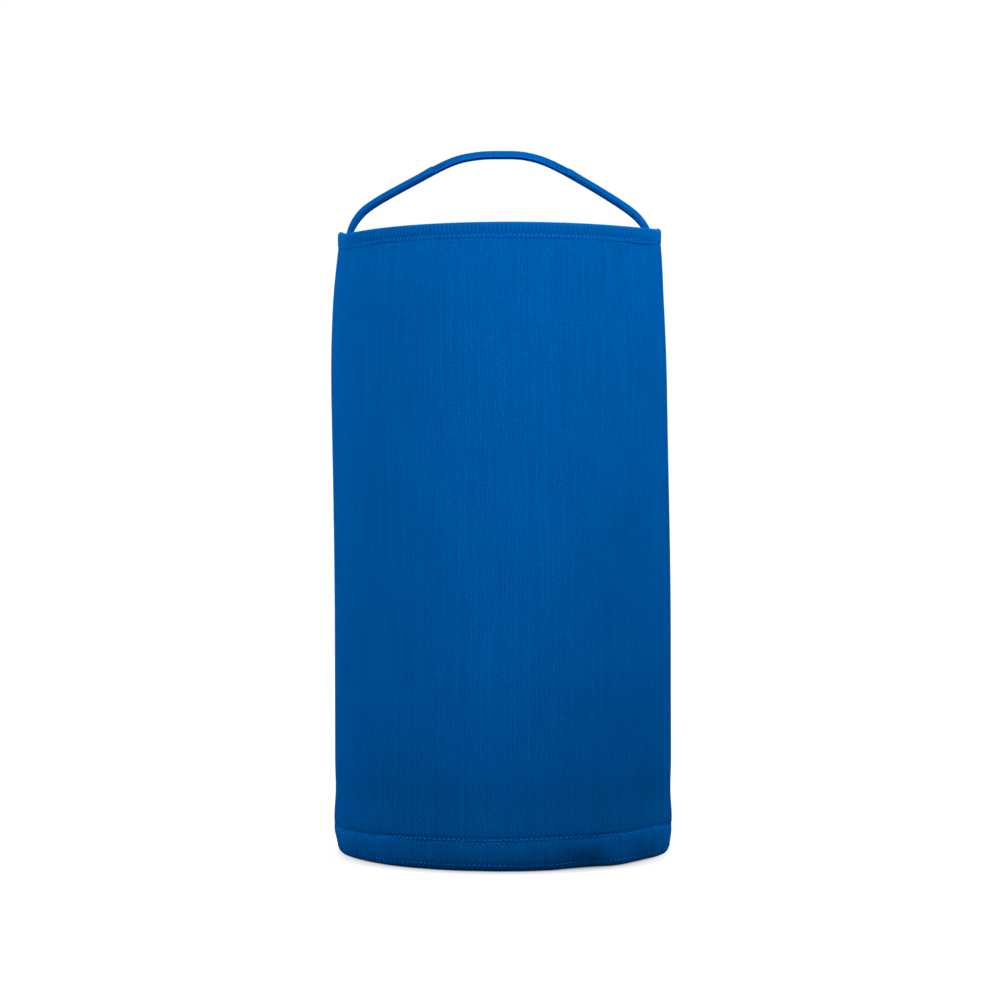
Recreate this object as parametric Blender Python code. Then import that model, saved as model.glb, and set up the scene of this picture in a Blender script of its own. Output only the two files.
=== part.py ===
"""Cold compression sleeve, standing on its bottom hem.

A knit tube with a gel pack between its shell and its lining, a gathered binding round
the mouth, a double-stitched hem round the bottom, and a soft loop handle whose two ends
are sewn inside the mouth.  Sizes are in millimetres and are turned into metres when a
mesh is made.  The origin is on the tube's axis, in the plane that the hem stands on.
The front is -Y, and the handle spans the mouth from -X to +X.
"""

import math

import bmesh
import bpy

MM = 0.001

# Driving sizes of the tube
BODY_R = 81.0            # outer radius of the shell over the gel
NECK_R = 77.6            # outer radius just under the mouth binding
SHOULDER_Z = 205.0       # where the tube starts to draw in
NECK_Z = 286.0           # where the drawing in ends
NECK_POWER = 2.5         # how late the drawing in happens
RIM_Z = 294.3            # top of the mouth binding
SHELL_T = 0.9            # knit shell
LINING_T = 0.8           # brushed lining
FILM_T = 0.3             # film on each side of the gel
GAP = 0.3                # clearance between neighbouring layers
GEL_T = 5.7              # gel at the middle of a cell

# Round pieces share one ring of facets, so layers stay parallel
SEGMENTS = 48
BACK = math.radians(90)
FULL_TURN = 2 * math.pi

# Bottom hem
HEM_R = BODY_R + 0.1
HEM_TOP = 14.2
HEM_T = 0.9
HEM_INNER_R = 76.4
HEM_FOOT = (76.8, 78.9)  # inner and outer radius of the flat ring it stands on
TUCK_Z = 7.5             # lower ends of shell and lining, inside the hem
SHELL_TUCK_R = HEM_R - HEM_T - 0.4
LINING_TUCK_R = 78.5

# Mouth binding
BIND_R = 78.1
BIND_T = 0.9
BIND_BOTTOM = RIM_Z - 7.0
BIND_INNER_R = 74.6
SHELL_NECK_TUCK_R = BIND_R - BIND_T - 0.4
SHELL_END_Z = 289.7

# Lining
LINING_R = BODY_R - SHELL_T - GEL_T - 2 * FILM_T - 4 * GAP + 0.1
LINING_MOUTH_R = 75.5
LINING_END_Z = 286.4
FLARE_LOW = (16.0, 34.0)      # heights of the lower flare, start and end
FLARE_HIGH = (263.0, 277.0)   # heights of the upper flare, start and end

# Gel pack
FILM_LOW_Z = 38.0
FILM_HIGH_Z = 262.0
CELL_COUNT = 8
CELL_LOW_Z = 42.0
CELL_HIGH_Z = 258.0
WELD = 6.0                    # width of a welded line between two cells
WAISTS = (114.0, 186.0)       # heights where spot welds narrow every cell
CELL_EDGE_T = 2.0             # gel thickness left at a cell's edge
CELL_EDGE = 9.0               # width of the sloping edge of a cell

# Seams along the back
SEAM_HALF = 2.3
SEAM_SLOT = SEAM_HALF + 0.35

# Stitching
THREAD = 0.5
HEM_UPPER_Z = 13.0
HEM_LOWER_Z = 2.9
MOUTH_ROW_Z = 288.4

# Handle
PIVOT_X = 72.5
PIVOT_Z = 297.0
STRAP_HALF_W = 4.5
STRAP_HALF_T = 1.4
TAPE_HALF_W = 3.5
TAPE_HALF_T = 0.4
TAPE_DROP = 1.0               # tape's centre below the strap's centre, outside the grip
COVER_UNDER = -0.3            # underside of the cover, from the strap's centre
WRAP_T = 0.65
GRIP_HALF = 28.0              # half length of the grip
COVER_START = 30.6            # inner end of each cover
HANDLE_STEP = 2.6             # spacing of the sections along the strap
ARCH = ((0.0, 335.5), (12.0, 334.7), (29.0, 328.9), (48.5, 318.6), (64.5, 308.6), (71.3, 302.0))
ROOT_T = 1.7
ROOT_TOP = PIVOT_Z - STRAP_HALF_W - 0.6
ROOT_BOTTOM = 272.0
PATCH_T = 0.7
PATCH_SPAN = 2                # facets of the ring that a patch covers

BLUE = (0.0, 0.105, 0.40)
DEEP_BLUE = (0.0, 0.07, 0.28)
THREAD_BLUE = (0.02, 0.17, 0.52)
GEL_BLUE = (0.08, 0.30, 0.62)
CLEAR = (0.75, 0.85, 0.92)


def clear_scene():
    for obj in list(bpy.data.objects):
        bpy.data.objects.remove(obj, do_unlink=True)


def material(name, colour, roughness):
    mat = bpy.data.materials.new(name)
    mat.use_nodes = True
    shader = mat.node_tree.nodes["Principled BSDF"]
    shader.inputs["Base Color"].default_value = (*colour, 1.0)
    shader.inputs["Roughness"].default_value = roughness
    shader.inputs["Metallic"].default_value = 0.0
    return mat


def add_object(name, bm, colour, roughness=0.85, parent=None):
    """Turn a bmesh in millimetres into a named object, under its parent if it has one."""
    bmesh.ops.recalc_face_normals(bm, faces=bm.faces)
    if bm.calc_volume(signed=True) < 0:
        bmesh.ops.reverse_faces(bm, faces=bm.faces)
    if parent is not None:
        bmesh.ops.translate(bm, verts=bm.verts, vec=-parent.location / MM)
    bmesh.ops.scale(bm, verts=bm.verts, vec=(MM, MM, MM))
    mesh = bpy.data.meshes.new(name)
    bm.to_mesh(mesh)
    bm.free()
    mesh.materials.append(material(name, colour, roughness))
    mesh.shade_smooth()
    mesh.set_sharp_from_angle(angle=math.radians(35))
    obj = bpy.data.objects.new(name, mesh)
    obj.parent = parent
    bpy.context.scene.collection.objects.link(obj)
    return obj


# ---------------------------------------------------------------- turned pieces

def ring_angles(start=None, stop=None):
    """Angles of the shared facets; with start and stop, the part of the ring between them."""
    step = FULL_TURN / SEGMENTS
    if start is None:
        return [step * i for i in range(SEGMENTS)]
    inside = [step * i for i in range(-SEGMENTS, 2 * SEGMENTS)]
    inside = [a for a in inside if start + 1e-6 < a < stop - 1e-6]
    return [start, *inside, stop]


def turned(outline, angles=None):
    """Turn a closed outline of (radius, height) about Z: a whole ring, or a capped stretch."""
    whole = angles is None
    angles = ring_angles() if whole else angles
    bm = bmesh.new()
    loops = []
    for angle in angles:
        c, s = math.cos(angle), math.sin(angle)
        loops.append([bm.verts.new((r * c, r * s, z)) for r, z in outline])
    count = len(outline)
    pairs = list(zip(loops, loops[1:]))
    if whole:
        pairs.append((loops[-1], loops[0]))
    for here, there in pairs:
        for i in range(count):
            j = (i + 1) % count
            bm.faces.new((here[i], here[j], there[j], there[i]))
    if not whole:
        bm.faces.new(loops[0])
        bm.faces.new(reversed(loops[-1]))
    return bm


def slotted_angles(radius):
    """The ring but for the slot at the back that a seam fills."""
    half = SEAM_SLOT / radius
    return ring_angles(BACK + half, BACK + FULL_TURN - half)


def seam_angles(radius):
    half = SEAM_HALF / radius
    return [BACK - half, BACK, BACK + half]


def body_radius(z):
    """Outer radius of the shell, between hem and mouth binding."""
    t = max(0.0, (z - SHOULDER_Z) / (NECK_Z - SHOULDER_Z))
    return BODY_R - (BODY_R - NECK_R) * t ** NECK_POWER


def ease(t):
    t = min(1.0, max(0.0, t))
    return t * t * (3 - 2 * t)


def lining_radius(z):
    """Outer radius of the lining, which flares out to meet the shell at both ends."""
    low = 1 - ease((z - FLARE_LOW[0]) / (FLARE_LOW[1] - FLARE_LOW[0]))
    high = ease((z - FLARE_HIGH[0]) / (FLARE_HIGH[1] - FLARE_HIGH[0]))
    return LINING_R + (LINING_TUCK_R - LINING_R) * low + (LINING_MOUTH_R - LINING_R) * high


def shell_outline():
    heights = [HEM_TOP + 0.7, 110.0, SHOULDER_Z, 235.0, 255.0, 270.0, 280.0, NECK_Z]
    inner_heights = [HEM_TOP + 1.7, *heights[1:-1], NECK_Z - 1.5]
    outer = [(SHELL_TUCK_R, TUCK_Z), (SHELL_TUCK_R, HEM_TOP + 0.4)]
    outer += [(body_radius(z), z) for z in heights]
    outer += [(SHELL_NECK_TUCK_R, NECK_Z + 0.5), (SHELL_NECK_TUCK_R, SHELL_END_Z)]
    inner = [(SHELL_NECK_TUCK_R - SHELL_T, SHELL_END_Z), (SHELL_NECK_TUCK_R - SHELL_T, NECK_Z - 0.3)]
    inner += [(body_radius(z) - SHELL_T, z) for z in reversed(inner_heights)]
    inner += [(SHELL_TUCK_R - SHELL_T, HEM_TOP + 1.4), (SHELL_TUCK_R - SHELL_T, TUCK_Z)]
    return outer + inner


def lining_outline():
    low, high = FLARE_LOW, FLARE_HIGH
    steps = [i / 4 for i in range(5)]
    heights = [TUCK_Z]
    heights += [low[0] + (low[1] - low[0]) * t for t in steps]
    heights += [high[0] + (high[1] - high[0]) * t for t in steps]
    heights += [LINING_END_Z]
    outer = [(lining_radius(z), z) for z in heights]
    inner = [(lining_radius(z) - LINING_T, z) for z in reversed(heights)]
    return outer + inner


def make_shell():
    outline = shell_outline()
    add_object("outer_shell", turned(outline, slotted_angles(BODY_R)), BLUE)
    add_object("back_seam", turned(outline, seam_angles(BODY_R)), THREAD_BLUE)


def make_lining():
    outline = lining_outline()
    add_object("inner_lining", turned(outline, slotted_angles(LINING_R)), DEEP_BLUE)
    add_object("lining_seam", turned(outline, seam_angles(LINING_R)), THREAD_BLUE)


def make_hem():
    """A folded band round the bottom: outer leg, flat foot and inner leg."""
    foot_in, foot_out = HEM_FOOT
    outer = [(foot_in, 0.0), (foot_out, 0.0), (foot_out + 1.1, 1.4), (foot_out + 1.9, 4.0),
             (HEM_R, TUCK_Z), (HEM_R, HEM_TOP)]
    leg = [(HEM_R - HEM_T, HEM_TOP), (HEM_R - HEM_T, TUCK_Z + 0.2), (foot_out + 0.9, 4.6),
           (foot_out + 0.3, 2.2), (foot_out - 0.5, 1.0)]
    inner = [(HEM_INNER_R + HEM_T, 1.0), (HEM_INNER_R + HEM_T, HEM_TOP),
             (HEM_INNER_R, HEM_TOP), (HEM_INNER_R, 0.6)]
    add_object("bottom_hem", turned(outer + leg + inner), BLUE)


def make_binding():
    """A gathered strip folded over the mouth's edge, with the elastic inside its fold."""
    fold_in, fold_out = BIND_INNER_R + 0.9, BIND_R - 0.9
    outer = [(BIND_R - 0.2, BIND_BOTTOM), (BIND_R, BIND_BOTTOM + 1.0), (BIND_R, RIM_Z - 1.6),
             (BIND_R - 0.3, RIM_Z - 0.5), (fold_out, RIM_Z), (fold_in, RIM_Z),
             (BIND_INNER_R + 0.3, RIM_Z - 0.5), (BIND_INNER_R, RIM_Z - 1.6), (BIND_INNER_R, BIND_BOTTOM)]
    inner = [(BIND_INNER_R + 0.85, BIND_BOTTOM), (BIND_INNER_R + 0.85, RIM_Z - BIND_T),
             (BIND_R - BIND_T, RIM_Z - BIND_T), (BIND_R - BIND_T, BIND_BOTTOM)]
    add_object("top_binding", turned(outer + inner), BLUE)
    low, high = SHELL_END_Z + 0.4, RIM_Z - BIND_T - GAP
    r_out, r_in = SHELL_NECK_TUCK_R, SHELL_NECK_TUCK_R - SHELL_T
    add_object("top_elastic", turned([(r_out, low), (r_out, high), (r_in, high), (r_in, low)]), CLEAR)


def thread_ring(name, radius, z):
    """One row of stitching, as the continuous thread that it is."""
    half = THREAD / 2
    outline = [(radius, z - half), (radius + THREAD, z), (radius, z + half)]
    add_object(name, turned(outline), THREAD_BLUE)


def make_stitching():
    thread_ring("hem_upper_stitching", HEM_R + GAP, HEM_UPPER_Z)
    thread_ring("hem_lower_stitching", HEM_FOOT[1] + 1.9, HEM_LOWER_Z)
    thread_ring("top_stitching", BIND_R + GAP, MOUTH_ROW_Z)


# ---------------------------------------------------------------- gel pack

def gel_outer_radius(z):
    return body_radius(z) - SHELL_T - FILM_T - 2 * GAP


def gel_inner_radius():
    return LINING_R + FILM_T + 2 * GAP


def make_films():
    heights = [FILM_LOW_Z, SHOULDER_Z, 235.0, FILM_HIGH_Z]
    outer = [(body_radius(z) - SHELL_T - GAP, z) for z in heights]
    inner = [(r - FILM_T, z) for r, z in reversed(outer)]
    add_object("gel_film_outer", turned(outer + inner), CLEAR, 0.3)
    r = LINING_R + GAP
    outline = [(r + FILM_T, FILM_LOW_Z), (r + FILM_T, FILM_HIGH_Z), (r, FILM_HIGH_Z), (r, FILM_LOW_Z)]
    add_object("gel_film_inner", turned(outline), CLEAR, 0.3)


def cell_mesh(start, stop):
    """One upright cell: full in the middle, thin along its welded edges and at its waists."""
    edge_angle = CELL_EDGE / BODY_R
    angles = [start, start + edge_angle, *ring_angles(start + edge_angle, stop - edge_angle)[1:-1],
              stop - edge_angle, stop]
    bounds = [CELL_LOW_Z, *WAISTS, CELL_HIGH_Z]
    heights = [CELL_LOW_Z]
    for low, high in zip(bounds, bounds[1:]):
        heights += [low + CELL_EDGE, high - CELL_EDGE, high]
    rows, columns = len(heights), len(angles)
    bm = bmesh.new()
    outer, inner = [], []
    for i, angle in enumerate(angles):
        c, s = math.cos(angle), math.sin(angle)
        for z in heights:
            at_edge = i in (0, columns - 1) or z in bounds
            full = gel_outer_radius(z) - gel_inner_radius()
            inset = (full - CELL_EDGE_T) / 2 if at_edge else 0.0
            r_out, r_in = gel_outer_radius(z) - inset, gel_inner_radius() + inset
            outer.append(bm.verts.new((r_out * c, r_out * s, z)))
            inner.append(bm.verts.new((r_in * c, r_in * s, z)))
    for i in range(columns - 1):
        for j in range(rows - 1):
            a, b = i * rows + j, (i + 1) * rows + j
            bm.faces.new((outer[a], outer[b], outer[b + 1], outer[a + 1]))
            bm.faces.new((inner[a], inner[a + 1], inner[b + 1], inner[b]))
    border = [i * rows for i in range(columns)]
    border += [(columns - 1) * rows + j for j in range(1, rows)]
    border += [i * rows + rows - 1 for i in range(columns - 2, -1, -1)]
    border += [j for j in range(rows - 2, 0, -1)]
    for a, b in zip(border, border[1:] + border[:1]):
        bm.faces.new((outer[b], outer[a], inner[a], inner[b]))
    return bm


def make_gel():
    """Upright cells side by side, with a welded line at the middle of the front."""
    half_weld = WELD / 2 / BODY_R
    turn = FULL_TURN / CELL_COUNT
    for k in range(CELL_COUNT):
        start = turn * k
        add_object(f"gel_cell_{k + 1}", cell_mesh(start + half_weld, start + turn - half_weld),
                   GEL_BLUE, 0.35)


# ---------------------------------------------------------------- handle

def smooth_point(points, i, t):
    """Catmull-Rom point between points[i] and points[i + 1]."""
    p0, p1, p2, p3 = (points[max(0, min(len(points) - 1, i + k))] for k in (-1, 0, 1, 2))
    value = []
    for a, b, c, d in zip(p0, p1, p2, p3):
        value.append(0.5 * (2 * b + (c - a) * t + (2 * a - 5 * b + 4 * c - d) * t * t
                            + (3 * b - a - 3 * c + d) * t ** 3))
    return tuple(value)


def arch_path():
    """The strap's centre line from the left tab's end over the crown to the right tab's end."""
    right = [*ARCH, (PIVOT_X, PIVOT_Z), (PIVOT_X, PIVOT_Z - STRAP_HALF_W)]
    points = [(-x, z) for x, z in reversed(right[1:])] + right
    path = []
    for i in range(len(points) - 1):
        length = math.dist(points[i], points[i + 1])
        steps = max(1, round(length / HANDLE_STEP))
        path += [smooth_point(points, i, k / steps) for k in range(steps)]
    path.append(points[-1])
    return path


def path_frames(path):
    """Each point with the unit normal that points out of the arch."""
    frames = []
    for i, (x, z) in enumerate(path):
        x0, z0 = path[max(0, i - 1)]
        x1, z1 = path[min(len(path) - 1, i + 1)]
        length = math.hypot(x1 - x0, z1 - z0)
        frames.append((x, z, -(z1 - z0) / length, (x1 - x0) / length))
    return frames


def tab_width(z, half_width):
    """Half width of a ply: full above the pivot, a half disc about the pivot below it."""
    drop = PIVOT_Z - z
    if drop <= 0:
        return half_width
    return max(0.7, math.sqrt(max(0.0, half_width ** 2 - drop ** 2)))


def swept(frames, sections):
    """Sweep closed sections of (out, across) along the frames and cap both ends."""
    bm = bmesh.new()
    loops = []
    for (x, z, nx, nz), section in zip(frames, sections):
        loops.append([bm.verts.new((x + nx * out, across, z + nz * out)) for out, across in section])
    count = len(loops[0])
    for here, there in zip(loops, loops[1:]):
        for i in range(count):
            j = (i + 1) % count
            bm.faces.new((here[i], here[j], there[j], there[i]))
    bm.faces.new(loops[0])
    bm.faces.new(reversed(loops[-1]))
    return bm


def flat_section(low, high, half_width, corner=0.0):
    """A rectangle, or with a corner size a rectangle with its four corners cut."""
    if corner <= 0:
        return [(low, -half_width), (high, -half_width), (high, half_width), (low, half_width)]
    w, c = half_width, corner
    return [(low, -w + c), (low + c, -w), (high - c, -w), (high, -w + c),
            (high, w - c), (high - c, w), (low + c, w), (low, w - c)]


def tape_centre(x):
    """The tape lies under the covers, and at the strap's centre inside the grip."""
    return -TAPE_DROP * ease((abs(x) - GRIP_HALF - 0.4) / (COVER_START - GRIP_HALF - 0.8))


def make_tape(frames, pivot):
    extra = [f for f in frames if abs(f[0]) < GRIP_HALF + 0.3]
    ends = [f for f in frames if abs(f[0]) > COVER_START - 0.3]
    left = [f for f in ends if f[0] < 0]
    right = [f for f in ends if f[0] > 0]
    kept = left + extra + right
    sections = []
    for x, z, _, _ in kept:
        centre = tape_centre(x)
        width = tab_width(z, TAPE_HALF_W)
        sections.append(flat_section(centre - TAPE_HALF_T, centre + TAPE_HALF_T, width))
    add_object("strap_tape", swept(kept, sections), DEEP_BLUE, parent=pivot)


def make_covers(frames, pivot):
    for side, sign in (("left", -1), ("right", 1)):
        kept = [f for f in frames if f[0] * sign > COVER_START]
        sections = [flat_section(COVER_UNDER, STRAP_HALF_T, tab_width(z, STRAP_HALF_W), 0.35)
                    for _, z, _, _ in kept]
        add_object(f"strap_cover_{side}", swept(kept, sections), BLUE, parent=pivot)


def make_wrap(frames, pivot):
    """A sleeve of knit round the tape at the crown, open at both ends."""
    kept = [f for f in frames if abs(f[0]) < GRIP_HALF]
    outer = flat_section(-STRAP_HALF_T, STRAP_HALF_T, STRAP_HALF_W, 0.4)
    bore_t, bore_w = STRAP_HALF_T - WRAP_T, STRAP_HALF_W - WRAP_T
    inner = flat_section(-bore_t, bore_t, bore_w, 0.15)
    bm = bmesh.new()
    rings = []
    for x, z, nx, nz in kept:
        pair = []
        for section in (outer, inner):
            pair.append([bm.verts.new((x + nx * o, a, z + nz * o)) for o, a in section])
        rings.append(pair)
    count = len(outer)
    for here, there in zip(rings, rings[1:]):
        for i in range(count):
            j = (i + 1) % count
            bm.faces.new((here[0][i], here[0][j], there[0][j], there[0][i]))
            bm.faces.new((here[1][i], there[1][i], there[1][j], here[1][j]))
    for outside, bore in (rings[0], rings[-1]):
        for i in range(count):
            j = (i + 1) % count
            bm.faces.new((outside[i], outside[j], bore[j], bore[i]))
    add_object("grip_wrap", bm, BLUE, parent=pivot)


def add_box(bm, centre, size):
    corners = []
    for dx in (-0.5, 0.5):
        for dy in (-0.5, 0.5):
            for dz in (-0.5, 0.5):
                corners.append(bm.verts.new((centre[0] + dx * size[0], centre[1] + dy * size[1],
                                             centre[2] + dz * size[2])))
    for face in ((0, 1, 3, 2), (4, 6, 7, 5), (0, 4, 5, 1), (2, 3, 7, 6), (0, 2, 6, 4), (1, 5, 7, 3)):
        bm.faces.new([corners[i] for i in face])


def frame_loop(bm, across, up, thread, place):
    """A closed square-section loop of thread; place turns (across, up, out) into a point."""
    half = thread / 2
    rings = []
    for grow in (-half, half):
        corners = [(-across - grow, -up - grow), (across + grow, -up - grow),
                   (across + grow, up + grow), (-across - grow, up + grow)]
        for out in (0.0, thread):
            rings.append([bm.verts.new(place(a, u, out)) for a, u in corners])
    inner_low, inner_high, outer_low, outer_high = rings
    for here, there in ((inner_low, inner_high), (inner_high, outer_high),
                        (outer_high, outer_low), (outer_low, inner_low)):
        for i in range(4):
            j = (i + 1) % 4
            bm.faces.new((here[i], here[j], there[j], there[i]))


def make_handle_stitching(frames, pivot):
    """A whipping of thread round each end of the grip, and a thread along each cover."""
    for side, sign in (("left", -1), ("right", 1)):
        x, z, nx, nz = min(frames, key=lambda f: abs(f[0] - sign * (GRIP_HALF - 2.0)))

        def place(across, out_of_arch, along):
            return (x + nx * out_of_arch + nz * along, across, z + nz * out_of_arch - nx * along)

        bm = bmesh.new()
        clear = GAP + THREAD / 2
        frame_loop(bm, STRAP_HALF_W + clear, STRAP_HALF_T + clear, THREAD, place)
        add_object(f"grip_whipping_{side}", bm, THREAD_BLUE, parent=pivot)
        kept = [f for f in frames if COVER_START + 1 < f[0] * sign < PIVOT_X - 3]
        near = -(STRAP_HALF_W + GAP)
        far = near - 0.4
        section = [(0.2, near), (0.6, near), (0.6, far), (0.2, far)]
        add_object(f"strap_stitching_{side}", swept(kept, [section] * len(kept)), THREAD_BLUE,
                   parent=pivot)


def make_anchors():
    """The sewn ends of the strap inside the mouth, their patches and box stitches."""
    step = FULL_TURN / SEGMENTS
    patch_r = LINING_MOUTH_R - LINING_T - 0.35
    outer_x = PIVOT_X + 0.45
    middle_z = (ROOT_TOP + ROOT_BOTTOM) / 2
    for side, sign in (("left", -1), ("right", 1)):
        bm = bmesh.new()
        centre = (sign * (outer_x - ROOT_T / 2), 0.0, middle_z)
        add_box(bm, centre, (ROOT_T, 2 * STRAP_HALF_W, ROOT_TOP - ROOT_BOTTOM))
        add_object(f"strap_root_{side}", bm, BLUE)
        middle = 0.0 if sign > 0 else math.pi
        angles = ring_angles(middle - PATCH_SPAN / 2 * step, middle + PATCH_SPAN / 2 * step)
        outline = [(patch_r, FLARE_HIGH[1]), (patch_r, LINING_END_Z),
                   (patch_r - PATCH_T, LINING_END_Z), (patch_r - PATCH_T, FLARE_HIGH[1])]
        add_object(f"anchor_patch_{side}", turned(outline, angles), DEEP_BLUE)

        def place(across, up, out):
            return (sign * (outer_x - ROOT_T - GAP - out), across, middle_z + up)

        bm = bmesh.new()
        frame_loop(bm, STRAP_HALF_W - 1.2, (ROOT_TOP - ROOT_BOTTOM) / 2 - 1.5, THREAD, place)
        add_object(f"anchor_stitching_{side}", bm, THREAD_BLUE)


def make_handle():
    pivot = bpy.data.objects.new("handle_pivot", None)
    pivot.location = (0.0, 0.0, PIVOT_Z * MM)
    bpy.context.scene.collection.objects.link(pivot)
    frames = path_frames(arch_path())
    make_tape(frames, pivot)
    make_covers(frames, pivot)
    make_wrap(frames, pivot)
    make_handle_stitching(frames, pivot)


def main():
    clear_scene()
    make_shell()
    make_lining()
    make_hem()
    make_binding()
    make_stitching()
    make_films()
    make_gel()
    make_anchors()
    make_handle()


main()
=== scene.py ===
"""Looks of the cold compression sleeve: knit shell, gathered mouth binding, stitched hem,
soft lining, gel cells and loop handle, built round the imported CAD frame."""

import math

import bpy
import numpy as np
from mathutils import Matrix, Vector


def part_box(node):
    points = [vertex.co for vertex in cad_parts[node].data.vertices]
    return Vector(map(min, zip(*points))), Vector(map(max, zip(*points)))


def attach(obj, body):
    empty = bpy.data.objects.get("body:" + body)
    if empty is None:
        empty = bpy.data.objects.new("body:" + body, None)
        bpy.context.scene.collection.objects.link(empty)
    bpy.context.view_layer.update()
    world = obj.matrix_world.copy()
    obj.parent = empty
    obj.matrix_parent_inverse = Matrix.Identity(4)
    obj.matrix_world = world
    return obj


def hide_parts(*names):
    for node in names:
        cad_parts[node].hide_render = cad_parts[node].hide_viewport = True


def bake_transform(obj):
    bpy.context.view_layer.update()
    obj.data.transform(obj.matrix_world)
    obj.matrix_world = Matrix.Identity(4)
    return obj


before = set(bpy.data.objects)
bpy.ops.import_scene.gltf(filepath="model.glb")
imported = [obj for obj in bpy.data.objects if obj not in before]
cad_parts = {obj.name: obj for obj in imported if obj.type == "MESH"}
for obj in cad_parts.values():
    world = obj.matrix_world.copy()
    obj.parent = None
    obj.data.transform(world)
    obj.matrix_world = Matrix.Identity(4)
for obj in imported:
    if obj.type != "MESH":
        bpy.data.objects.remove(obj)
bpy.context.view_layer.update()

MM = 0.001
TURN = 2 * math.pi
FRONT, RIGHT, BACK, LEFT = -TURN / 4, 0.0, TURN / 4, TURN / 2   # angles round the tube, from +X

# Places and sizes taken from the frame
HEM_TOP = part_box("bottom_hem")[1].z
HEM_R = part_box("bottom_hem")[1].x
BIND_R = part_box("top_binding")[1].x
BIND_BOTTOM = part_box("top_binding")[0].z
RIM_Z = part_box("top_binding")[1].z
SHELL_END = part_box("outer_shell")[1].z
LINING_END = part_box("inner_lining")[1].z
LINING_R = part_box("inner_lining")[1].x
FILM_LOW, FILM_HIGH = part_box("gel_film_outer")[0].z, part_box("gel_film_outer")[1].z
GEL_LOW, GEL_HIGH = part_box("gel_cell_1")[0].z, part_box("gel_cell_1")[1].z
ROOT_LOW, ROOT_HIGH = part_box("strap_root_right")
PATCH_LOW, PATCH_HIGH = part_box("anchor_patch_right")
STRAP_HALF_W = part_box("strap_cover_right")[1].y
BODY_R = HEM_R - 0.1 * MM

# Sewing and knit: pitches as they look over the front, taken to go on all the way round
HEM_STITCHES = 216           # round the hem
RIBS = 248                   # gathers round the mouth
WALE = 1.14 * MM             # width of one column of knit loops
COURSE = 1.01 * MM           # height of one loop
STRAP_STITCH = 2.05 * MM     # from one stitch along the strap to the next
SEAM_STITCH = 2.4 * MM       # the same up the back seam
CELLS = 8                    # gel cells round the tube, a guess: the pack is out of sight
WAISTS = (0.114, 0.186)      # heights where spot welds narrow the gel cells


# ------------------------------------------------------------------ camera, light, floor

def make_camera():
    distance, height, lens = 1.2, 0.1679, 89.3
    data = bpy.data.cameras.new("camera")
    data.lens = lens
    data.sensor_width = 36.0
    data.clip_start = 0.05
    data.clip_end = 20.0
    cam = bpy.data.objects.new("camera", data)
    cam.location = (-0.25 * MM, -distance, height)
    cam.rotation_euler = (TURN / 4, 0.0, 0.0)
    bpy.context.scene.collection.objects.link(cam)
    bpy.context.scene.camera = cam


# Softboxes on stands: degrees from the front, distance, height, watts; all face the object
SOFTBOXES = (
    ("key_left", -60, 1.0, 1.3, 10.2),
    ("rear_left", -120, 1.0, 1.3, 1.7),
    ("low_left", -120, 0.45, 0.35, 1.9),
    ("low_right", 120, 0.45, 0.35, 1.6),
    ("rear_right", 160, 1.0, 1.3, 3.0),
)


def softbox(name, place, target, size, watts):
    data = bpy.data.lights.new(name, "AREA")
    data.shape = "RECTANGLE"
    data.size, data.size_y = size
    data.energy = watts
    lamp = bpy.data.objects.new(name, data)
    lamp.location = place
    aim = Vector(target) - Vector(place)
    lamp.rotation_euler = aim.to_track_quat("-Z", "Y").to_euler()
    lamp.visible_camera = False
    bpy.context.scene.collection.objects.link(lamp)


def make_light():
    for name, degrees, distance, height, watts in SOFTBOXES:
        a = math.radians(degrees)
        place = (distance * math.sin(a), -distance * math.cos(a), height)
        softbox(name, place, (0, 0, 0.2), (0.5, 0.5), watts)
    softbox("overhead_front", (0.25, -0.25, 0.5), (0.25, -0.25, 0.0), (0.6, 0.6), 2.95)
    softbox("floor_bounce", (0.0, -0.45, 0.004), (0.0, -0.45, 1.0), (0.5, 0.2), 2.0)
    softbox("foot_bounce", (-0.06, -0.14, 0.003), (-0.06, -0.14, 1.0), (0.36, 0.08), 0.035)
    make_world(0.11)
    view = bpy.context.scene.view_settings
    view.view_transform = "Standard"
    view.look = "None"


def make_world(fill):
    """A white studio to the camera that gives only a weak fill to the object."""
    world = bpy.data.worlds.new("studio")
    bpy.context.scene.world = world
    world.use_nodes = True
    nodes, links = world.node_tree.nodes, world.node_tree.links
    strength = nodes.new("ShaderNodeMath")
    strength.operation = "MULTIPLY_ADD"
    strength.inputs[1].default_value = 1.05 - fill
    strength.inputs[2].default_value = fill
    links.new(nodes.new("ShaderNodeLightPath").outputs["Is Camera Ray"], strength.inputs[0])
    background = nodes["Background"]
    background.inputs["Color"].default_value = (1, 1, 1, 1)
    links.new(strength.outputs[0], background.inputs["Strength"])


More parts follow.
